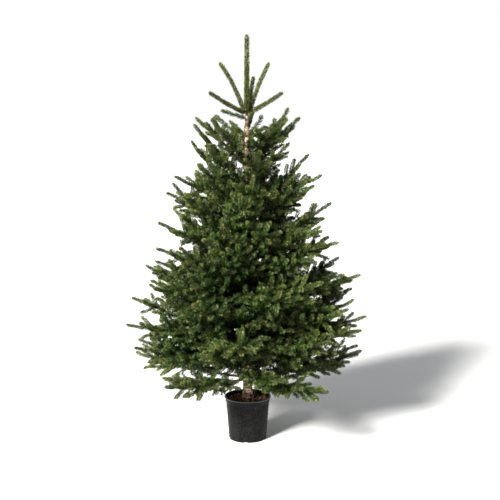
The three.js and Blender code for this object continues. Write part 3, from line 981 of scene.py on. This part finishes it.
def pot_piece(materials):
    """The nursery pot: a thin tapering wall, a band under a rolled lip, and drainage notches in its foot."""
    low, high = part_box("pot")
    points = cad_points("pot")
    foot = np.hypot(points[:, 0], points[:, 1])[points[:, 2] < 0.001].max()
    profile, lip_rows = pot_profile(foot, (high.x - low.x) / 2, high.z - low.z)
    sides = 128
    turn = turns(sides)
    wobble = 1 + 0.0016 * np.sin(2 * turn + 0.7) + 0.0008 * np.sin(5 * turn)  # a little out of round
    ring = np.stack([np.cos(turn) * wobble, np.sin(turn) * wobble], 1)
    body = np.empty((len(profile), sides, 3))
    body[:, :, :2] = profile[:, 0][:, None, None] * ring[None]
    body[:, :, 2] = profile[:, 1][:, None]
    faces = grid_faces(len(profile), sides)
    on_lip = np.isin(faces[:, 0] // sides, lip_rows)
    piece = mesh_piece("nursery_pot", body.reshape(-1, 3), faces, materials, on_lip, smooth=True)
    shape = bmesh.new()
    shape.from_mesh(piece.data)
    bmesh.ops.remove_doubles(shape, verts=shape.verts, dist=1e-6)
    bmesh.ops.recalc_face_normals(shape, faces=shape.faces)
    shape.to_mesh(piece.data)
    shape.free()
    cut_notches(piece, foot)
    return piece


def cut_notches(piece, foot):
    """Drainage notches: rounded blocks taken out of the foot's edge, the first of them near the front."""
    width, height, depth = 0.022, 0.0085, 0.017
    shape = bmesh.new()
    for i in range(NOTCHES):
        turn = math.radians(FIRST_NOTCH + 360 / NOTCHES * i)
        made = bmesh.ops.create_cube(shape, size=1.0)["verts"]
        bmesh.ops.scale(shape, vec=(depth * 2, width, height * 2), verts=made)
        bmesh.ops.translate(shape, vec=(foot, 0, 0), verts=made)
        bmesh.ops.rotate(shape, cent=(0, 0, 0), matrix=Matrix.Rotation(turn, 3, "Z"), verts=made)
    bmesh.ops.bevel(shape, geom=shape.edges[:], offset=0.0016, segments=2, affect="EDGES")
    mesh = bpy.data.meshes.new("notch_cutter")
    shape.to_mesh(mesh)
    shape.free()
    cutter = linked("notch_cutter", mesh)
    modifier = piece.modifiers.new("notches", "BOOLEAN")
    modifier.operation = "DIFFERENCE"
    modifier.solver = "EXACT"
    modifier.object = cutter
    bpy.context.view_layer.objects.active = piece
    bpy.ops.object.modifier_apply(modifier=modifier.name)
    bpy.data.objects.remove(cutter)


def soil_piece(material):
    """The root ball: a body that fills the pot, with a lumpy top that rises to the trunk."""
    low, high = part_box("root_ball")
    radius = (high.x - low.x) / 2
    sides, rows = 96, 34
    turn = turns(sides)
    circle = np.stack([np.cos(turn), np.sin(turn), np.zeros(sides)], 1)
    below = [(0.0, low.z), (0.86, low.z), (0.98, SOIL_TOP - 0.012)]  # share of the radius, height
    grid = [circle * radius * share + UP * height for share, height in below]
    for u in np.linspace(1, 0.02, rows):
        ring = circle * radius * 0.985 * u
        for point in ring:
            lumps = noise.fractal(Vector(point) * 55, 0.8, 2.1, 4)
            point[2] = SOIL_TOP - 0.005 - 0.003 * u + 0.0034 * lumps
        grid.append(ring)
    return mesh_piece("soil", np.vstack(grid), grid_faces(len(grid), sides), [material], smooth=True)


def mulch_piece(materials):
    """Bark chips: split, bent slabs that lie every way on the soil, clear of the trunk and the wall."""
    random = np.random.default_rng(SEED + 3)
    low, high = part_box("root_ball")
    outer = (high.x - low.x) / 2 - 0.008
    trunk_foot = stem(SOIL_TOP)[2] + 0.003
    parts, picks = [], []
    signs = np.array([[x, y, z] for x in (-1, 1) for y in (-1, 1) for z in (-1, 1)], float)
    quads = np.array([[0, 1, 3, 2], [4, 6, 7, 5], [0, 4, 5, 1], [2, 3, 7, 6], [0, 2, 6, 4], [1, 5, 7, 3]])
    for _ in range(CHIPS):
        away = math.sqrt(random.uniform(trunk_foot**2, outer**2))
        turn = random.uniform(0, 2 * math.pi)
        length = random.uniform(0.006, 0.016) * (1.4 if random.uniform() < 0.15 else 1)
        half = np.array([length, length * random.uniform(0.3, 0.6), length * random.uniform(0.12, 0.28)]) / 2
        shape = signs * half * random.uniform(0.6, 1.1, (8, 3))
        yaw = Matrix.Rotation(random.uniform(0, 2 * math.pi), 3, "Z")
        pitch = Matrix.Rotation(random.normal(0, 0.35), 3, "Y")
        height = SOIL_TOP - 0.002 - 0.003 * away / outer + random.uniform(0, 0.007)
        middle = np.array([math.cos(turn) * away, math.sin(turn) * away, height])
        parts.append((shape @ np.array(yaw @ pitch).T + middle, quads))
        picks.append(np.full(len(quads), random.integers(0, len(materials))))
    points, faces = joined(parts)
    return mesh_piece("mulch_chips", points, faces, materials, np.concatenate(picks))


# ---------------- stage


def aim(thing, target):
    """Turns a light to shine at a point."""
    thing.rotation_euler = (Vector(target) - thing.location).to_track_quat("-Z", "Y").to_euler()


def light_studio(scene):
    """Soft light from everywhere, a soft sun from the upper left in front, and a white backdrop."""
    world = bpy.data.worlds.new("studio")
    world.use_nodes = True
    nodes, links = world.node_tree.nodes, world.node_tree.links
    around = nodes["Background"]
    around.inputs["Color"].default_value = (0.97, 0.985, 1.0, 1)
    around.inputs["Strength"].default_value = 0.38
    backdrop = nodes.new("ShaderNodeBackground")
    backdrop.inputs["Color"].default_value = (1, 1, 1, 1)
    seen = nodes.new("ShaderNodeLightPath")
    both = nodes.new("ShaderNodeMixShader")
    links.new(seen.outputs["Is Camera Ray"], both.inputs["Fac"])
    links.new(around.outputs["Background"], both.inputs[1])
    links.new(backdrop.outputs["Background"], both.inputs[2])
    links.new(both.outputs["Shader"], nodes["World Output"].inputs["Surface"])
    scene.world = world

    sun = bpy.data.lights.new("soft_sun", "SUN")
    sun.energy = 10.4
    sun.angle = math.radians(14)
    sun.color = (1.0, 0.99, 0.95)
    lamp = linked("soft_sun", sun)
    lamp.location = (-3.8, -5.0, 4.2)
    aim(lamp, (0, 0, 0.6))


def build_stage():
    scene = bpy.context.scene
    scene.view_settings.view_transform = "Standard"
    half = 40.0
    corners = np.array([[-half, -half, 0], [half, -half, 0], [half, half, 0], [-half, half, 0]])
    pale = Nodes("pale_floor", roughness=0.75, specular=0.2)
    mottle = pale.noise(pale.place(), 3.0)
    pale.colour(pale.ramp(mottle, [(0.3, (0.90, 0.90, 0.90)), (0.7, (0.92, 0.92, 0.92))]))
    mesh_piece("floor", corners, np.array([[0, 1, 2, 3]]), [pale.material])

    light_studio(scene)

    lens = bpy.data.cameras.new("camera")
    lens.lens = CAMERA["lens"]
    lens.sensor_width = 36.0
    camera = linked("camera", lens)
    camera.location = (CAMERA["aside"], -CAMERA["distance"], CAMERA["height"])
    camera.rotation_euler = (math.radians(90 - CAMERA["pitch"]), 0, 0)
    scene.camera = camera


# ---------------- the object


def stands_for(piece, slot, *nodes):
    """Rides a piece on the part's only body and hides the CAD nodes that it replaces. The slot is not used."""
    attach(piece, ROOT)
    if nodes:
        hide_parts(*nodes)


def mass_nodes(w):
    """The CAD nodes of one whorl's foliage, or of the top."""
    if w == len(WHORLS):
        return [*TOP_SHOOTS, "leader_needles"]
    return [f"foliage_{w + 1}_{b}" for b in range(1, BOUGHS_PER_WHORL + 1)]


def build_tree():
    tree = grow_tree()
    grow_top(tree)
    bark = bark_material("trunk_bark", (0.47, 0.345, 0.215), (0.140, 0.082, 0.040), (0.022, 0.013, 0.007))
    dull_tan, dull_brown, dull_crack = (0.115, 0.070, 0.038), (0.052, 0.030, 0.016), (0.015, 0.009, 0.005)
    limb_bark = bark_material("bough_bark", dull_tan, dull_brown, dull_crack)
    stands_for(trunk_piece(bark), "bark", "trunk")
    limbs = sorted(n for n in frame["nodes"] if n.startswith("bough_"))
    stands_for(bough_piece(tree, limb_bark), "bark", *limbs)
    for piece, w in needle_pieces(tree, needle_materials()):
        stands_for(piece, "young_foliage" if w == len(WHORLS) else "foliage", *mass_nodes(w))
    for piece, w in twig_pieces(tree, twig_materials()):
        stands_for(piece, "bark", *mass_nodes(w))
    stands_for(bud_piece(tree, bud_materials()), "bark")


def build_pot():
    stands_for(pot_piece([pot_plastic(), lip_plastic()]), "pot", "pot")
    stands_for(soil_piece(soil_material()), "soil", "root_ball")
    # The chips' tones are real, but the red and tan ones are lighter than real bark: painted light for chips
    # that lie in the crown's shade.
    chips = [
        chip_material("chip_dark", (0.012, 0.007, 0.005), (0.045, 0.024, 0.012)),
        chip_material("chip_red", (0.160, 0.066, 0.028), (0.360, 0.165, 0.075)),
        chip_material("chip_tan", (0.330, 0.190, 0.095), (0.640, 0.410, 0.230)),
        chip_material("chip_brown", (0.060, 0.030, 0.015), (0.180, 0.092, 0.044)),
    ]
    stands_for(mulch_piece(chips), "soil")


build_stage()
build_tree()
build_pot()
